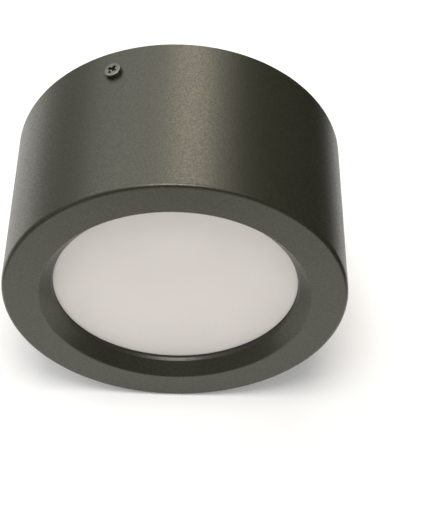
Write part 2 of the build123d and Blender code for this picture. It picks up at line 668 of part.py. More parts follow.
def terminal_block_screws():
    """Screws through the terminal block into the heat plate."""
    return [place * deck_screw(TERMINAL_SCREW_SEAT) for place in TERMINAL_SCREW_PLACES]


def earth_tag():
    """Ring tag with a neck and a crimp barrel towards the terminal block."""
    ring = disc(TAG_RADIUS, 0, TAG_THICKNESS)
    neck_end = TAG_BARREL_START + TAG_BARREL_LENGTH
    ring += block((-TAG_NECK_WIDTH / 2, TAG_NECK_WIDTH / 2), (0, neck_end), (0, TAG_THICKNESS))
    barrel = Rot(90, 0, 0) * Cylinder(TAG_BARREL_RADIUS, TAG_BARREL_LENGTH)
    barrel_place = Pos(0, TAG_BARREL_START + TAG_BARREL_LENGTH / 2, TAG_BARREL_RADIUS)
    ring += barrel_place * barrel
    ring -= disc(SCREW_HOLE_RADIUS, 0, TAG_THICKNESS)
    ring -= barrel_place * Rot(90, 0, 0) * Cylinder(MAINS_LEAD_RADIUS + THREAD_GAP, TAG_BARREL_LENGTH)
    return Pos(0, 0, DECK_Z) * EARTH_PLACE * ring


def earth_screw():
    """Screw that clamps the earth tag to the heat plate."""
    return EARTH_PLACE * deck_screw(TAG_THICKNESS)


def bared_core(pole_y):
    """Bared end of a supply lead inside its clamp."""
    middle = TERMINAL_FACE_X + MAINS_CORE_LENGTH / 2
    return Pos(middle, pole_y, LEAD_Z) * Rot(0, 90, 0) * Cylinder(MAINS_CORE_RADIUS, MAINS_CORE_LENGTH)


def earth_lead():
    """Lead from the earth pole down to the tag's barrel."""
    barrel_z = DECK_Z + TAG_BARREL_RADIUS
    barrel_y = EARTH_Y + TAG_BARREL_START
    route = [
        (TERMINAL_FACE_X, EARTH_POLE_Y, LEAD_Z),
        (EARTH_X, EARTH_POLE_Y, LEAD_Z),
        (EARTH_X, barrel_y + EARTH_RAMP, barrel_z),
        (EARTH_X, barrel_y, barrel_z),
    ]
    return lead(route, EARTH_BENDS, MAINS_LEAD_RADIUS) + bared_core(EARTH_POLE_Y)


def supply_lead(exit_offset, loop, drop, pole_y, bends):
    """Lead from the driver's supply end, round the plate and into a pole of the terminal block."""
    exit_x = DRIVER_X + exit_offset
    loop_y = DRIVER_END + loop
    drop_x = TERMINAL_FACE_X - drop
    route = [
        (exit_x, DRIVER_END - LEAD_INSET, LEAD_Z),
        (exit_x, loop_y, LEAD_Z),
        (drop_x, loop_y, LEAD_Z),
        (drop_x, pole_y, LEAD_Z),
        (TERMINAL_FACE_X, pole_y, LEAD_Z),
    ]
    return lead(route, bends, MAINS_LEAD_RADIUS) + bared_core(pole_y)


def live_lead():
    """Outer supply lead."""
    return supply_lead(LIVE_EXIT, LIVE_LOOP, LIVE_DROP, LIVE_POLE_Y, LIVE_BENDS)


def neutral_lead():
    """Inner supply lead."""
    return supply_lead(NEUTRAL_EXIT, NEUTRAL_LOOP, NEUTRAL_DROP, NEUTRAL_POLE_Y, NEUTRAL_BENDS)


def lamp_lead(exit_offset, loop, side, bends):
    """Lead from the driver's lamp end, through the grommet, to a pad on the front of the board."""
    exit_x = DRIVER_X + exit_offset
    loop_y = -DRIVER_END - loop
    hole_x = side * LAMP_LEAD_SPREAD
    pad_z = BOARD_Z - LAMP_LEAD_RADIUS
    route = [
        (exit_x, LEAD_INSET - DRIVER_END, LEAD_Z),
        (exit_x, loop_y, LEAD_Z),
        (hole_x, loop_y, LEAD_Z),
        (hole_x, 0, LEAD_Z),
        (hole_x, 0, pad_z),
        (side * LAMP_LEAD_REACH, 0, pad_z),
    ]
    return lead(route, bends + [LEAD_HEIGHT - GROMMET_FLANGE_HEIGHT, LAMP_LEAD_BEND], LAMP_LEAD_RADIUS)


def led_lead_positive():
    """Outer lamp lead."""
    return lamp_lead(POSITIVE_EXIT, POSITIVE_LOOP, 1, POSITIVE_BENDS)


def led_lead_negative():
    """Inner lamp lead."""
    return lamp_lead(NEGATIVE_EXIT, NEGATIVE_LOOP, -1, NEGATIVE_BENDS)


def mounting_strap():
    """Bent steel strap: wide web, necked ears, open notches, fixing slots and a cable hole."""
    ear_bottom = -EAR_LENGTH
    outer_bend = BEND_RADIUS + STRAP_THICKNESS
    corners = [
        (-EAR_OUTER, ear_bottom, 0),
        (-EAR_OUTER, 0, outer_bend),
        (EAR_OUTER, 0, outer_bend),
        (EAR_OUTER, ear_bottom, 0),
        (EAR_INNER, ear_bottom, 0),
        (EAR_INNER, -STRAP_THICKNESS, BEND_RADIUS),
        (-EAR_INNER, -STRAP_THICKNESS, BEND_RADIUS),
        (-EAR_INNER, ear_bottom, 0),
    ]
    points = [(0, y, z) for y, z, _ in corners]
    bends = [bend for _, _, bend in corners]
    profile = make_face(FilletPolyline(*points, radius=bends, close=True))
    strap = extrude(profile, amount=EAR_WIDTH / 2, dir=(1, 0, 0), both=True)
    ear_corners = strap.edges().filter_by(Axis.Y).group_by(Axis.Z)[0]
    strap = fillet(ear_corners, EAR_CORNER_ROUND)
    web_length = 2 * (EAR_OUTER - STRAP_NECK)
    strap += extrude(RectangleRounded(STRAP_WIDTH, web_length, STRAP_CORNER_ROUND), amount=-STRAP_THICKNESS)
    slot = Rot(0, 0, 90) * SlotOverall(FIXING_SLOT_LENGTH, FIXING_SLOT_WIDTH)
    for y in (-FIXING_SPACING / 2, FIXING_SPACING / 2):
        strap -= extrude(Pos(0, y, 0) * slot, amount=-STRAP_THICKNESS)
    strap -= disc(CABLE_RADIUS + BUSH_WALL + BUSH_GAP, -STRAP_THICKNESS, 0)
    notch = side_hole(SCREW_HOLE_RADIUS, NUT_OUTER, PAD_FACE)
    notch += block(
        (-SCREW_HOLE_RADIUS, SCREW_HOLE_RADIUS), (-PAD_FACE, -NUT_OUTER), (ear_bottom, -SIDE_SCREW_DEPTH)
    )
    for side in BOTH_SIDES:
        strap -= side * notch
    return strap


def cable_bush():
    """Bush in the strap's cable hole, flush above and flanged below."""
    body = CABLE_RADIUS + BUSH_WALL
    flange_z = -STRAP_THICKNESS - BUSH_FLANGE_HEIGHT
    return lathe([
        (CABLE_RADIUS, 0, 0),
        (body, 0, 0),
        (body, -STRAP_THICKNESS, 0),
        (body + BUSH_FLANGE_WIDTH, -STRAP_THICKNESS, 0),
        (body + BUSH_FLANGE_WIDTH, flange_z, BUSH_ROUND),
        (CABLE_RADIUS, flange_z, 0),
    ])


def nut_plates():
    """Threaded plates behind the ears, kept from turning by the strap's web."""
    top = -STRAP_THICKNESS - BEND_RADIUS - NUT_PLATE_TOP_GAP
    half = NUT_PLATE_WIDTH / 2
    inner = NUT_OUTER - NUT_PLATE_THICKNESS
    plate = block((-half, half), (-NUT_OUTER, -inner), (-SIDE_SCREW_DEPTH - NUT_PLATE_DROP, top))
    plate -= side_hole(TAPPED_RADIUS, inner, NUT_OUTER)
    return [side * plate for side in BOTH_SIDES]


def side_screw(side):
    """Pan-head screw through the can's wall into its nut plate."""
    turned = Rot(90, 0, 0) * Rot(0, 0, SIDE_RECESS_ANGLE) * pan_screw(SIDE_SCREW_LENGTH)
    return side * Pos(0, -HEAD_SEAT, -SIDE_SCREW_DEPTH) * turned


def screw_seal(side):
    """Seal ring between the screw's head and the can."""
    ring = lathe([
        (SCREW_RADIUS + THREAD_GAP, 0, 0),
        (SEAL_RADIUS, 0, SEAL_ROUND),
        (SEAL_RADIUS, SEAL_THICKNESS, SEAL_ROUND),
        (SCREW_RADIUS + THREAD_GAP, SEAL_THICKNESS, 0),
    ])
    return side * Pos(0, -SEAL_INNER, -SIDE_SCREW_DEPTH) * Rot(90, 0, 0) * ring


FRONT_SIDE, REAR_SIDE = BOTH_SIDES

NODES = {
    "housing": housing(),
    "diffuser": diffuser(),
    "diffuser_gasket": diffuser_gasket(),
    "reflector": reflector(),
    "led_board": led_board(),
    "leds": leds(),
    "thermal_pad": thermal_pad(),
    "heat_plate": heat_plate(),
    "plate_screws": plate_screws(),
    "board_screws": board_screws(),
    "lead_grommet": lead_grommet(),
    "driver_base": driver_base(),
    "driver_cover": driver_cover(),
    "driver_board": driver_board(),
    "driver_transformer": driver_transformer(),
    "driver_capacitors": driver_capacitors(),
    "driver_inductor": driver_inductor(),
    "driver_screws": driver_screws(),
    "terminal_block": terminal_block(),
    "terminal_clamps": terminal_clamps(),
    "terminal_screws": terminal_screws(),
    "terminal_block_screws": terminal_block_screws(),
    "earth_tag": earth_tag(),
    "earth_screw": earth_screw(),
    "earth_lead": earth_lead(),
    "live_lead": live_lead(),
    "neutral_lead": neutral_lead(),
    "led_lead_positive": led_lead_positive(),
    "led_lead_negative": led_lead_negative(),
    "mounting_strap": mounting_strap(),
    "cable_bush": cable_bush(),
    "nut_plates": nut_plates(),
    "front_side_screw": side_screw(FRONT_SIDE),
    "rear_side_screw": side_screw(REAR_SIDE),
    "front_screw_seal": screw_seal(FRONT_SIDE),
    "rear_screw_seal": screw_seal(REAR_SIDE),
}

os.makedirs("parts", exist_ok=True)
for name, shape in NODES.items():
    solids = Compound(children=shape) if isinstance(shape, list) else shape
    export_step(solids, os.path.join("parts", name + ".step"))
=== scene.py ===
import json
import math

import bmesh
import bpy
from mathutils import Matrix, Vector


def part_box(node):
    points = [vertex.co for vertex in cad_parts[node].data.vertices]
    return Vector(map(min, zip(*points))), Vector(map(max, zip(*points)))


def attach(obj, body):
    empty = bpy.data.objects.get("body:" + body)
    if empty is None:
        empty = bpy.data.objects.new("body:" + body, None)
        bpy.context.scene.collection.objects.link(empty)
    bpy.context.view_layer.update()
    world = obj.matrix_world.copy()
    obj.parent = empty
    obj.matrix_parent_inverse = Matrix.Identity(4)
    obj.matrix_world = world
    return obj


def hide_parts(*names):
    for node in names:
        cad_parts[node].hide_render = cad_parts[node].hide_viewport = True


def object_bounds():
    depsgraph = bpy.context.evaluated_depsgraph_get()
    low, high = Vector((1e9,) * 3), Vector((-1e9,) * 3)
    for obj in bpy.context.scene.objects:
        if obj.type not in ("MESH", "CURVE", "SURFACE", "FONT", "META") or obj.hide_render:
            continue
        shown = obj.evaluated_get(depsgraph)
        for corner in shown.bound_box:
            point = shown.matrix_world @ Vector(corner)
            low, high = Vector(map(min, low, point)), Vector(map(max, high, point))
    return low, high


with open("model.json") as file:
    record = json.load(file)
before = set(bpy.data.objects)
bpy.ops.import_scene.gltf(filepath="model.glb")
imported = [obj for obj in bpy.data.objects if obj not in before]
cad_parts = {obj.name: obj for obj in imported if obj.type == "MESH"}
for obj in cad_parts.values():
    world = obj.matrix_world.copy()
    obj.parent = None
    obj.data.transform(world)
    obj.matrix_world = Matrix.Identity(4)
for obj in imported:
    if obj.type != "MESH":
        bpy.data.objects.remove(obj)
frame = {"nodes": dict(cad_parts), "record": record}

nodes = frame["nodes"]
cad_box = [list(corner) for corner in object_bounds()]

MM = 0.001

# Where the photograph was taken from, in the part's frame
CAMERA_PLACE = Vector((140.19, -336.22, -337.22)) * MM
CAMERA_TURN = [math.radians(angle) for angle in (128.566, -0.176, 20.055)]
CAMERA_LENS = 90.304

# The can lies on its side on a table: the way up from it, along it to the right, and to the back
TABLE_TURN = math.radians(22.7)
UP = Vector((math.sin(TABLE_TURN), -math.cos(TABLE_TURN), 0))
RIGHT = Vector((math.cos(TABLE_TURN), math.sin(TABLE_TURN), 0))
BACK = Vector((0, 0, 1))

# The can in millimetres: its radius, the level of its face, and the rounds at the face's two edges
CAN_RADIUS = cad_box[1][0] / MM
FACE_LEVEL = cad_box[0][2] / MM
FACE_ROUND = 1.4
REVEAL_ROUND = 1.0
REVEAL_ROUND_RADIUS = 47.756


# Materials

# Detail of a noise texture
CLOUDY = 4.0
GRAINY = 3.0
SMOOTH = 2.0

# A colour mix has several sockets of one name, so its inputs and output go by their place
MIX_SHARE = 0
MIX_FIRST = 6
MIX_SECOND = 7
MIX_RESULT = 2


class Graph:
    """A node tree, with short ways to add to it."""

    def __init__(self, tree):
        self.tree = tree

    def feed(self, socket, value):
        """Links another node's output to a socket, or sets a plain value there."""
        if isinstance(value, bpy.types.NodeSocket):
            self.tree.links.new(value, socket)
        else:
            socket.default_value = value

    def node(self, kind, inputs=None, **settings):
        made = self.tree.nodes.new(kind)
        for key, value in settings.items():
            setattr(made, key, value)
        for socket, value in (inputs or {}).items():
            self.feed(made.inputs[socket], value)
        return made

    def span(self, value, low, high, start=0.3, end=0.7):
        """Value mapped from start..end to low..high, smoothly."""
        inputs = {"Value": value, "From Min": start, "From Max": end, "To Min": low, "To Max": high}
        return self.node("ShaderNodeMapRange", inputs, interpolation_type="SMOOTHSTEP").outputs["Result"]

    def sums(self, operation, first, second):
        return self.node("ShaderNodeMath", {0: first, 1: second}, operation=operation).outputs["Value"]


class Look(Graph):
    """One procedural material: a principled shader with textures in the part's own frame."""

    def __init__(self, name, **constants):
        self.material = bpy.data.materials.new(name)
        self.material.use_nodes = True
        super().__init__(self.material.node_tree)
        self.shader = self.tree.nodes["Principled BSDF"]
        for socket, value in constants.items():
            self.shader.inputs[socket.replace("_", " ")].default_value = value
        self.coordinates = self.node("ShaderNodeTexCoord").outputs
        self.place = self.coordinates["Object"]

    def noise(self, grain, detail, stretch=None):
        """Noise with the given grain in millimetres, drawn out by a stretch of three scales."""
        vector = self.place
        if stretch:
            vector = self.node("ShaderNodeMapping", {"Vector": vector, "Scale": stretch}).outputs["Vector"]
        inputs = {"Vector": vector, "Scale": 1 / (grain * MM), "Detail": detail}
        return self.node("ShaderNodeTexNoise", inputs).outputs["Fac"]

    def blend(self, share, first, second):
        """Mix of two colours, each an output or three plain numbers."""
        inputs = {MIX_SHARE: share}
        for place, colour in ((MIX_FIRST, first), (MIX_SECOND, second)):
            inputs[place] = (*colour, 1) if isinstance(colour, tuple) else colour
        return self.node("ShaderNodeMix", inputs, data_type="RGBA").outputs[MIX_RESULT]

    def relief(self, height, depth, strength=1.0, under=None):
        """Bump of the given depth in millimetres, on top of another bump if given."""
        inputs = {"Height": height, "Strength": strength, "Distance": depth * MM}
        if under is not None:
            inputs["Normal"] = under
        return self.node("ShaderNodeBump", inputs).outputs["Normal"]

    def set(self, socket, value):
        self.tree.links.new(value, self.shader.inputs[socket])


MOULDED_CLOUD = 18.0
METAL_CLOUD = 9.0
METAL_STREAK_SHARE = 0.7
METAL_CLOUD_SHARE = 0.3


def grained(name, dark, light, rough, grain, depth, **constants):
    """Moulded or soft surface: cloudy colour, uneven gloss and a fine grain."""
    look = Look(name, **constants)
    look.set("Base Color", look.blend(look.span(look.noise(MOULDED_CLOUD, CLOUDY), 0, 1), dark, light))
    fine = look.noise(grain, GRAINY)
    look.set("Roughness", look.span(fine, *rough))
    look.set("Normal", look.relief(fine, depth))
    return look


def drawn_metal(name, dark, light, rough, streak, depth, stretch):
    """Sheet or turned metal: colour and gloss in fine streaks along one way."""
    look = Look(name, Metallic=1.0)
    lines = look.noise(streak, GRAINY, stretch)
    cloud = look.noise(METAL_CLOUD, CLOUDY)
    look.set("Base Color", look.blend(look.span(cloud, 0, 1), dark, light))
    streaked = look.sums("MULTIPLY", lines, METAL_STREAK_SHARE)
    clouded = look.sums("MULTIPLY", cloud, METAL_CLOUD_SHARE)
    look.set("Roughness", look.span(look.sums("ADD", streaked, clouded), *rough))
    look.set("Normal", look.relief(lines, depth))
    return look


# The can's coat, with sizes in millimetres
COAT_DARK = (0.0145, 0.015, 0.0092)
COAT_LIGHT = (0.0295, 0.0295, 0.0185)
COAT_CLOUDED = (0.0165, 0.017, 0.0105)
COAT_CLOUD = 26.0
COAT_CLOUD_SHARE = 0.3
COAT_GRIT = 0.7
COAT_GRIT_SPAN = (0.35, 0.65)
COAT_GRIT_STRENGTH = 0.7
COAT_FINE = 0.5
COAT_DEPTH = 0.03
COAT_ROUGH = (0.41, 0.31)

# Cast metal inside the can, where the coat thins out in a mist between two depths: under the wall's outside,
# behind the face, and below the rear rim
CAST_DARK = (0.3, 0.3, 0.3)
CAST_LIGHT = (0.5, 0.5, 0.49)
CAST_METALLIC = 0.85
CAST_ROUGHER = 0.1
CAST_UNDER_WALL = (1.7, 0.8)
CAST_BEHIND_FACE = (5.6, 6.2)
CAST_BELOW_RIM = (24.0, 3.0)
MIST_GRAIN = 0.6
MIST_MIDDLE = 0.5
MIST_SPAN = (0.35, 0.85)


def powder_coat():
    """Satin black powder coat; inside the can it thins out to bare cast metal."""
    look = Look("black_coat", Specular_IOR_Level=0.7, Specular_Tint=(1.0, 1.0, 0.88, 1.0))
    split = look.node("ShaderNodeSeparateXYZ", {"Vector": look.place}).outputs
    flat = look.node("ShaderNodeCombineXYZ", {"X": split["X"], "Y": split["Y"]}).outputs["Vector"]
    radius = look.node("ShaderNodeVectorMath", {0: flat}, operation="LENGTH").outputs["Value"]
    within = look.span(radius, 1, 0, *[(CAN_RADIUS - depth) * MM for depth in CAST_UNDER_WALL])
    behind = look.span(split["Z"], 0, 1, *[(FACE_LEVEL + depth) * MM for depth in CAST_BEHIND_FACE])
    below = look.span(split["Z"], 1, 0, *[-depth * MM for depth in CAST_BELOW_RIM])
    inside = look.sums("MULTIPLY", look.sums("MULTIPLY", within, behind), below)
    mist = look.noise(MIST_GRAIN, CLOUDY)
    bare = look.span(look.sums("ADD", inside, look.sums("SUBTRACT", mist, MIST_MIDDLE)), 0, 1, *MIST_SPAN)
    fine = look.noise(COAT_FINE, GRAINY)
    grit = look.noise(COAT_GRIT, SMOOTH)
    cloud = look.noise(COAT_CLOUD, GRAINY)
    paint = look.blend(look.span(grit, 0, 1, *COAT_GRIT_SPAN), COAT_DARK, COAT_LIGHT)
    paint = look.blend(look.sums("MULTIPLY", cloud, COAT_CLOUD_SHARE), paint, COAT_CLOUDED)
    look.set("Base Color", look.blend(bare, paint, look.blend(mist, CAST_DARK, CAST_LIGHT)))
    look.set("Metallic", look.sums("MULTIPLY", bare, CAST_METALLIC))
    satin = look.span(grit, *COAT_ROUGH, *COAT_GRIT_SPAN)
    look.set("Roughness", look.sums("ADD", satin, look.sums("MULTIPLY", bare, CAST_ROUGHER)))
    gritty = look.relief(grit, COAT_DEPTH, COAT_GRIT_STRENGTH)
    look.set("Normal", look.relief(fine, COAT_DEPTH, under=gritty))
    return look


OPAL_DARK = (0.725, 0.68, 0.65)
OPAL_LIGHT = (0.745, 0.7, 0.67)
OPAL_SCATTER = {"Subsurface_Weight": 0.25, "Subsurface_Radius": (1.0, 0.95, 0.9), "Subsurface_Scale": 2 * MM}
OPAL_CLOUD = 30.0
OPAL_GRAIN = 0.25
OPAL_DEPTH = 0.004
OPAL_STRENGTH = 0.3
OPAL_ROUGH = (0.34, 0.44)


def opal():
    """Satin diffusing acrylic."""
    look = Look("opal", Specular_IOR_Level=0.25, **OPAL_SCATTER)
    look.set("Base Color", look.blend(look.span(look.noise(OPAL_CLOUD, SMOOTH), 0, 1), OPAL_DARK, OPAL_LIGHT))
    fine = look.noise(OPAL_GRAIN, SMOOTH)
    look.set("Roughness", look.span(fine, *OPAL_ROUGH))
    look.set("Normal", look.relief(fine, OPAL_DEPTH, OPAL_STRENGTH))
    return look


SLEEVE_GREEN = (0.03, 0.2, 0.045)
SLEEVE_YELLOW = (0.78, 0.62, 0.03)
SLEEVE_ROUGH = (0.38, 0.5)
SLEEVE_GRAIN = 0.5
SLEEVE_DEPTH = 0.01
STRIPE_WAY = (0.35, 0.35, 0.87)
STRIPE_EDGE = (0.42, 0.5)


def striped_sleeve():
    """Green lead sleeve with a yellow stripe along the side that looks the stripe's way."""
    look = Look("green_yellow_sleeve")
    ways = {0: look.coordinates["Normal"], 1: STRIPE_WAY}
    side = look.node("ShaderNodeVectorMath", ways, operation="DOT_PRODUCT").outputs["Value"]
    look.set("Base Color", look.blend(look.span(side, 0, 1, *STRIPE_EDGE), SLEEVE_GREEN, SLEEVE_YELLOW))
    fine = look.noise(SLEEVE_GRAIN, SMOOTH)
    look.set("Roughness", look.span(fine, *SLEEVE_ROUGH))
    look.set("Normal", look.relief(fine, SLEEVE_DEPTH))
    return look


PHOSPHOR_DARK = (0.82, 0.66, 0.2)
PHOSPHOR_LIGHT = (0.88, 0.76, 0.34)
PHOSPHOR_ROUGH = (0.35, 0.5)
PHOSPHOR_GRAIN = 0.6
PHOSPHOR_DEPTH = 0.01


def phosphor():
    """Yellow phosphor that covers the light-emitting packages, uneven in colour and gloss."""
    look = Look("led_package")
    dots = look.noise(PHOSPHOR_GRAIN, SMOOTH)
    look.set("Base Color", look.blend(look.span(dots, 0, 1), PHOSPHOR_DARK, PHOSPHOR_LIGHT))
    look.set("Roughness", look.span(dots, *PHOSPHOR_ROUGH))
    look.set("Normal", look.relief(dots, PHOSPHOR_DEPTH))
    return look


# Dark and light colour, roughness from low to high, and the grain's size and depth in millimetres
GRAINED = {
    "black_rubber": ((0.012, 0.012, 0.012), (0.02, 0.02, 0.02), (0.6, 0.75), 0.2, 0.01),
    "white_plastic": ((0.82, 0.82, 0.81), (0.87, 0.87, 0.86), (0.4, 0.5), 0.3, 0.008),
    "white_board": ((0.8, 0.8, 0.78), (0.85, 0.85, 0.83), (0.35, 0.45), 0.4, 0.006),
    "grey_pad": ((0.4, 0.42, 0.44), (0.47, 0.49, 0.5), (0.7, 0.8), 0.3, 0.02),
    "driver_plastic": ((0.7, 0.7, 0.68), (0.76, 0.76, 0.74), (0.45, 0.58), 0.4, 0.02),
    "green_board": ((0.03, 0.16, 0.06), (0.05, 0.22, 0.09), (0.3, 0.42), 0.5, 0.01),
    "ferrite": ((0.05, 0.05, 0.05), (0.09, 0.09, 0.085), (0.5, 0.65), 0.4, 0.02),
    "black_sleeve": ((0.03, 0.03, 0.035), (0.05, 0.05, 0.055), (0.3, 0.4), 0.6, 0.006),
    "terminal_plastic": ((0.74, 0.73, 0.66), (0.8, 0.79, 0.73), (0.4, 0.52), 0.35, 0.012),
    "brown_sleeve": ((0.13, 0.05, 0.02), (0.17, 0.07, 0.03), (0.36, 0.48), 0.5, 0.01),
    "blue_sleeve": ((0.02, 0.1, 0.38), (0.03, 0.14, 0.46), (0.36, 0.48), 0.5, 0.01),
    "red_sleeve": ((0.42, 0.02, 0.02), (0.52, 0.03, 0.03), (0.36, 0.48), 0.5, 0.01),
    "black_sleeving": ((0.015, 0.015, 0.015), (0.022, 0.022, 0.022), (0.36, 0.48), 0.5, 0.01),
}
SCATTER = {
    "terminal_plastic": {
        "Subsurface_Weight": 0.2, "Subsurface_Radius": (1.0, 0.95, 0.8), "Subsurface_Scale": 1.5 * MM,
    },
}

# The same for metals, with the streaks' width as the grain, and the way that they run
ALONG_X = (0.04, 1.0, 1.0)
ALONG_Y = (1.0, 0.03, 1.0)
EVEN = (1.0, 1.0, 1.0)
DRAWN = {
    "bare_aluminium": ((0.7, 0.71, 0.72), (0.8, 0.81, 0.82), (0.28, 0.46), 0.35, 0.006, ALONG_X),
    "zinc_steel": ((0.38, 0.39, 0.405), (0.52, 0.515, 0.49), (0.3, 0.46), 0.5, 0.006, ALONG_Y),
    "dark_steel": ((0.144, 0.146, 0.126), (0.213, 0.215, 0.189), (0.28, 0.4), 0.3, 0.006, EVEN),
    "brass": ((0.7, 0.5, 0.2), (0.82, 0.63, 0.3), (0.24, 0.38), 0.4, 0.004, ALONG_X),
}

LOOKS = {
    "black_coat": powder_coat(),
    "opal": opal(),
    "green_yellow_sleeve": striped_sleeve(),
    "led_package": phosphor(),
}
for slot, values in GRAINED.items():
    LOOKS[slot] = grained(slot, *values, **SCATTER.get(slot, {}))
for slot, values in DRAWN.items():
    LOOKS[slot] = drawn_metal(slot, *values)

for part in frame["record"]["subparts"]:
    for finish in nodes[part["node"]].material_slots:
        finish.material = LOOKS[part["material_slot"]].material


# True shading on the can's turned rounds: the centre's radius and level and the round, in millimetres

CAN_ROUNDS = [
    (CAN_RADIUS - FACE_ROUND, FACE_LEVEL + FACE_ROUND, FACE_ROUND),
    (REVEAL_ROUND_RADIUS, FACE_LEVEL + REVEAL_ROUND, REVEAL_ROUND),
]
ROUND_FIT = 0.02


def shade_rounds(mesh):
    """Gives each corner on a round the normal of the round itself, whatever the triangles are."""
    normals = []
    for loop, corner in zip(mesh.loops, mesh.corner_normals):
        normal = Vector(corner.vector)
        place = mesh.vertices[loop.vertex_index].co / MM
        outward = Vector((place.x, place.y, 0)).normalized()
        for radius, level, size in CAN_ROUNDS:
            spoke = outward * (place.xy.length - radius) + BACK * (place.z - level)
            if abs(spoke.length - size) < ROUND_FIT and spoke.dot(normal) > 0:
                normal = spoke.normalized()
        normals.append(normal)
    mesh.normals_split_custom_set(normals)


def shaded_can():
    """The can with true shading on its rounds, in place of the CAD node."""
    piece = bpy.data.objects.new("housing_detail", nodes["housing"].data.copy())
    bpy.context.scene.collection.objects.link(piece)
    shade_rounds(piece.data)
    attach(piece, "lamp")
    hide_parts("housing")


shaded_can()


# Side screws: pan head with a cross recess, and a cut thread that shows when they are backed out

# Radius and level of the head's rings, from the flat top to the seat, in millimetres
HEAD_HEIGHT = 1.3
HEAD_PROFILE = [(1.0, HEAD_HEIGHT), (2.1, 1.295), (2.62, 1.27), (2.82, 1.22), (2.93, 1.13), (2.985, 1.0),
                (3.0, 0.86), (3.0, 0.12), (2.95, 0.03), (2.86, 0)]
SCREW_STEPS = 64
SHARP_ANGLE = math.radians(32)

# The shank in millimetres: a plain neck, a thread whose ridge rises and falls in each turn, and a tapered tip
NECK_RADIUS = 1.32
NECK_LENGTH = 0.35
THREAD_PITCH = 0.5
THREAD_ROOT = 1.2
THREAD_CREST = 1.5
RIDGE_SLOPE = 2.7
RIDGE_START = 0.6
ROWS_PER_PITCH = 10
SHANK_LENGTH = 10.0
TIP_LENGTH = 0.5
TIP_RADIUS = 1.08

# Reach, half width and level of the recess's arms, from above the head down, in millimetres
RECESS_ARMS = [(1.78, 0.62, 1.45), (1.62, 0.56, 0.3), (0.95, 0.36, 0.0)]
RECESS_FLOOR = -0.3
RECESS_TURN = math.radians(52)


def mesh_piece(name, points, faces):
    """New object from points in millimetres."""
    mesh = bpy.data.meshes.new(name)
    mesh.from_pydata([Vector(point) * MM for point in points], [], faces)
    mesh.update()
    piece = bpy.data.objects.new(name, mesh)
    bpy.context.scene.collection.objects.link(piece)
    return piece


def thread_radius(depth, angle):
    """Radius of the shank at a depth below the head."""
    if depth < NECK_LENGTH:
        return NECK_RADIUS
    turn = (depth / THREAD_PITCH - angle / (2 * math.pi)) % 1.0
    ridge = min(1.0, max(0.0, (0.5 - abs(turn - 0.5)) * RIDGE_SLOPE - RIDGE_START))
    run_in = min(1.0, (depth - NECK_LENGTH) / THREAD_PITCH)
    run_out = min(1.0, (SHANK_LENGTH - depth) / TIP_LENGTH)
    limit = TIP_RADIUS + (THREAD_CREST - TIP_RADIUS) * run_out
    return min(limit, THREAD_ROOT + (THREAD_CREST - THREAD_ROOT) * ridge * run_in)


def screw_shell():
    """Points and faces of one screw without its recess: axis +Z out of the head, seat at level 0."""
    points = [(0, 0, HEAD_HEIGHT)]
    faces = []
    rings = []

    def ring(radius_at, level):
        start = len(points)
        for step in range(SCREW_STEPS):
            angle = 2 * math.pi * step / SCREW_STEPS
            radius = radius_at(angle)
            points.append((radius * math.cos(angle), radius * math.sin(angle), level))
        rings.append(range(start, start + SCREW_STEPS))

    for radius, level in HEAD_PROFILE:
        ring(lambda angle, radius=radius: radius, level)
    rows = round(SHANK_LENGTH / THREAD_PITCH * ROWS_PER_PITCH)
    for row in range(rows + 1):
        depth = SHANK_LENGTH * row / rows
        ring(lambda angle, depth=depth: thread_radius(depth, angle), -depth)
    points.append((0, 0, -SHANK_LENGTH))
    first, last = rings[0], rings[-1]
    for step in range(SCREW_STEPS):
        follow = (step + 1) % SCREW_STEPS
        faces.append((0, first[step], first[follow]))
        faces.append((len(points) - 1, last[follow], last[step]))
        for upper, lower in zip(rings, rings[1:]):
            faces.append((upper[step], lower[step], lower[follow], upper[follow]))
    return points, faces


def recess_cutter():
    """Points and faces of the cross-shaped tool that cuts the recess."""
    points = []
    faces = []
    for reach, half, level in RECESS_ARMS:
        for quarter in range(4):
            spin = Matrix.Rotation(RECESS_TURN + quarter * math.pi / 2, 3, "Z")
            for x, y in ((reach, -half), (reach, half), (half, half)):
                points.append(spin @ Vector((x, y, level)))
    count = len(points) // len(RECESS_ARMS)
    bottom = len(points) - count
    for upper in range(0, bottom, count):
        lower = upper + count
        for step in range(count):
            follow = (step + 1) % count
            faces.append((upper + step, lower + step, lower + follow, upper + follow))
    faces.append(tuple(range(count)))
    points.append(Vector((0, 0, RECESS_FLOOR)))
    for step in range(count):
        faces.append((bottom + (step + 1) % count, bottom + step, len(points) - 1))
    return points, faces


def apply_modifiers(piece):
    """Puts the result of the piece's modifiers into its mesh."""
    bpy.context.view_layer.update()
    graph = bpy.context.evaluated_depsgraph_get()
    piece.data = bpy.data.meshes.new_from_object(piece.evaluated_get(graph))
    piece.modifiers.clear()


def outward_faces(piece):
    """Turns every face of a closed mesh outwards."""
    shape = bmesh.new()
    shape.from_mesh(piece.data)
    bmesh.ops.recalc_face_normals(shape, faces=shape.faces)
    shape.to_mesh(piece.data)
    shape.free()


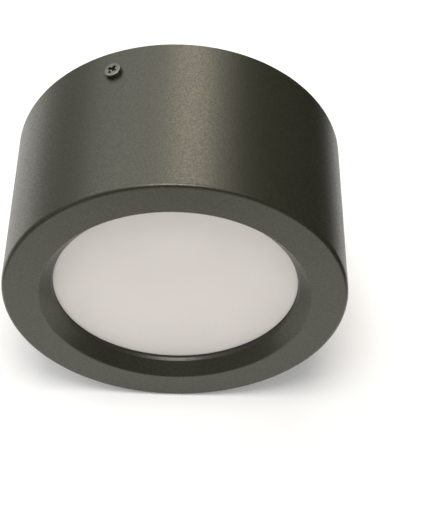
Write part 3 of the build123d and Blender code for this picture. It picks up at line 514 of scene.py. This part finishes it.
def detailed_screw(node, body, out):
    """Screw in place of a CAD node, with its head towards out."""
    low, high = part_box(node)
    middle = (low + high) / 2
    tip = low.y if out.y > 0 else high.y
    seat = Vector((middle.x, tip + out.y * SHANK_LENGTH * MM, middle.z))
    piece = mesh_piece(node + "_detail", *screw_shell())
    cutter = mesh_piece("recess_cutter", *recess_cutter())
    for shape in (piece, cutter):
        outward_faces(shape)
    cut = piece.modifiers.new("recess", "BOOLEAN")
    cut.operation = "DIFFERENCE"
    cut.solver = "EXACT"
    cut.object = cutter
    apply_modifiers(piece)
    bpy.data.objects.remove(cutter)
    turn = Matrix((Vector((-out.y, 0, 0)), BACK, out)).transposed().to_4x4()
    piece.data.transform(Matrix.Translation(seat) @ turn)
    piece.data.shade_smooth()
    piece.data.set_sharp_from_angle(angle=SHARP_ANGLE)
    piece.data.materials.clear()
    piece.data.materials.append(LOOKS["dark_steel"].material)
    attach(piece, body)
    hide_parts(node)


detailed_screw("front_side_screw", "front_screw", Vector((0, -1, 0)))
detailed_screw("rear_side_screw", "rear_screw", Vector((0, 1, 0)))


# Table, light and camera: places are metres to the right, up and to the back

TABLE_HALF = 3.0
TABLE_GLOW = 0.14
TABLE_CLOUD = 120.0
TABLE_DARK = (0.87, 0.87, 0.865)
TABLE_LIGHT = (0.89, 0.89, 0.885)

# The room's brightest side, and its level from the side away from it to that side
ROOM_BRIGHT = (-0.35, 0.45, -0.8)
ROOM_LEVELS = (0.1, 0.75)
ROOM_SPREAD = (-0.5, 0.9)

# An area lamp's power for each unit of radiance and area
LAMP_POWER = 4
WARM = (1.0, 0.85, 0.69)
PALE = (1.0, 0.985, 0.95)

# Place, width and length in metres, radiance and colour
SOFTBOXES = {
    "warm_softbox": ((0.1, 0.79, 0.71), 0.32, 0.5, 3.0, WARM),
    "wide_softbox": ((-0.55, 0.95, 0.52), 1.0, 0.9, 0.7, PALE),
    "front_softbox": ((-0.05, 1.12, -0.22), 0.52, 0.52, 7.5, PALE),
}

# Three corners in a row of each card, and its brightness
CARDS = {
    "right_card": ((0.12, -0.04, -0.3), (0.42, 0.6, -0.3), (0.42, 0.6, 1.0), 0.035),
    "left_card": ((-0.3, -0.058, -0.5), (-0.3, 0.17, -0.5), (-0.3, 0.17, 0.6), 0.33),
    "front_card": ((-0.9, 0.05, -0.75), (0.9, 0.05, -0.75), (0.9, 0.75, -0.3), 0.0),
    "low_front_card": ((-0.12, -0.058, -0.16), (0.12, -0.058, -0.16), (0.12, -0.012, -0.16), 0.08),
    "low_left_card": ((-0.12, -0.058, -0.25), (-0.12, -0.058, -0.05), (-0.12, 0.02, -0.05), 0.05),
    "low_right_card": ((0.11, -0.058, -0.25), (0.11, -0.058, -0.05), (0.11, 0.02, -0.05), 0.0),
}


def in_room(right, up, back):
    """Point in the part's frame, counted from the middle of the can."""
    middle = BACK * (cad_box[0][2] + cad_box[1][2]) / 2
    return middle + RIGHT * right + UP * up + BACK * back


def seen_direct(graph, value):
    """The value, but one where the surroundings are seen: by the camera, in gloss or through glass."""
    path = graph.node("ShaderNodeLightPath").outputs
    for ray in ("Is Camera Ray", "Is Glossy Ray", "Is Transmission Ray"):
        value = graph.sums("MAXIMUM", value, path[ray])
    return value


def table():
    """Large pale table top under the lying can, clear from behind so that it hides nothing."""
    foot = -cad_box[1][0]
    corners = [(-TABLE_HALF, -TABLE_HALF), (TABLE_HALF, -TABLE_HALF), (TABLE_HALF, TABLE_HALF),
               (-TABLE_HALF, TABLE_HALF)]
    floor = mesh_piece("table", [in_room(right, foot, back) / MM for right, back in corners], [(0, 1, 2, 3)])
    if floor.data.polygons[0].normal.dot(UP) < 0:
        floor.data.flip_normals()
    look = Look("table", Roughness=0.9, Specular_IOR_Level=0.0)
    cloud = look.span(look.noise(TABLE_CLOUD, GRAINY), 0, 1)
    look.set("Base Color", look.blend(cloud, TABLE_DARK, TABLE_LIGHT))
    strength = look.sums("MULTIPLY", seen_direct(look, 0.0), TABLE_GLOW)
    glow = look.node("ShaderNodeEmission", {"Strength": strength}).outputs["Emission"]
    lit = look.node("ShaderNodeAddShader", {0: look.shader.outputs["BSDF"], 1: glow}).outputs["Shader"]
    clear = look.node("ShaderNodeBsdfTransparent").outputs["BSDF"]
    behind = look.node("ShaderNodeNewGeometry").outputs["Backfacing"]
    faced = look.node("ShaderNodeMixShader", {0: behind, 1: lit, 2: clear}).outputs["Shader"]
    look.feed(look.tree.nodes["Material Output"].inputs["Surface"], faced)
    floor.data.materials.append(look.material)


def card(name, first, second, third, level):
    """Black or grey card that only reflections show, as in a photographer's set."""
    corners = [in_room(*place) / MM for place in (first, second, third)]
    corners.append(corners[0] + corners[2] - corners[1])
    sheet = mesh_piece(name, corners, [(0, 1, 2, 3)])
    look = Look(name, Roughness=1.0, Specular_IOR_Level=0.0, Base_Color=(0, 0, 0, 1), Emission_Strength=level)
    sheet.data.materials.append(look.material)
    sheet.visible_camera = False
    sheet.visible_diffuse = False
    sheet.visible_transmission = False
    sheet.visible_shadow = False


def softbox(name, place, width, length, radiance, colour):
    """Area lamp aimed at the can, with its brightness given as radiance."""
    lamp = bpy.data.lights.new(name, "AREA")
    lamp.shape = "RECTANGLE"
    lamp.size = width
    lamp.size_y = length
    lamp.color = colour
    lamp.energy = LAMP_POWER * radiance * width * length
    holder = bpy.data.objects.new(name, lamp)
    aim = (in_room(*place) - in_room(0, 0, 0)).normalized()
    across = (RIGHT - aim * RIGHT.dot(aim)).normalized()
    turn = Matrix((across, aim.cross(across), aim)).transposed().to_4x4()
    holder.matrix_world = Matrix.Translation(in_room(*place)) @ turn
    bpy.context.scene.collection.objects.link(holder)


def surroundings():
    """Pale room, white where it is seen, that gives more light from the left, above and the front."""
    world = bpy.data.worlds.new("room")
    bpy.context.scene.world = world
    world.use_nodes = True
    graph = Graph(world.node_tree)
    right, up, back = ROOM_BRIGHT
    bright = (RIGHT * right + UP * up + BACK * back).normalized()
    ways = {0: graph.node("ShaderNodeTexCoord").outputs["Generated"], 1: bright}
    side = graph.node("ShaderNodeVectorMath", ways, operation="DOT_PRODUCT").outputs["Value"]
    level = graph.span(side, *ROOM_LEVELS, *ROOM_SPREAD)
    ground = graph.tree.nodes["Background"].inputs
    graph.feed(ground["Strength"], seen_direct(graph, level))
    graph.feed(ground["Color"], (1, 1, 1, 1))


def camera():
    lens = bpy.data.cameras.new("camera")
    lens.lens = CAMERA_LENS
    holder = bpy.data.objects.new("camera", lens)
    holder.location = CAMERA_PLACE
    holder.rotation_euler = CAMERA_TURN
    bpy.context.scene.collection.objects.link(holder)
    bpy.context.scene.camera = holder


table()
surroundings()
for name, setting in SOFTBOXES.items():
    softbox(name, *setting)
for name, setting in CARDS.items():
    card(name, *setting)
camera()
bpy.context.scene.view_settings.view_transform = "Standard"
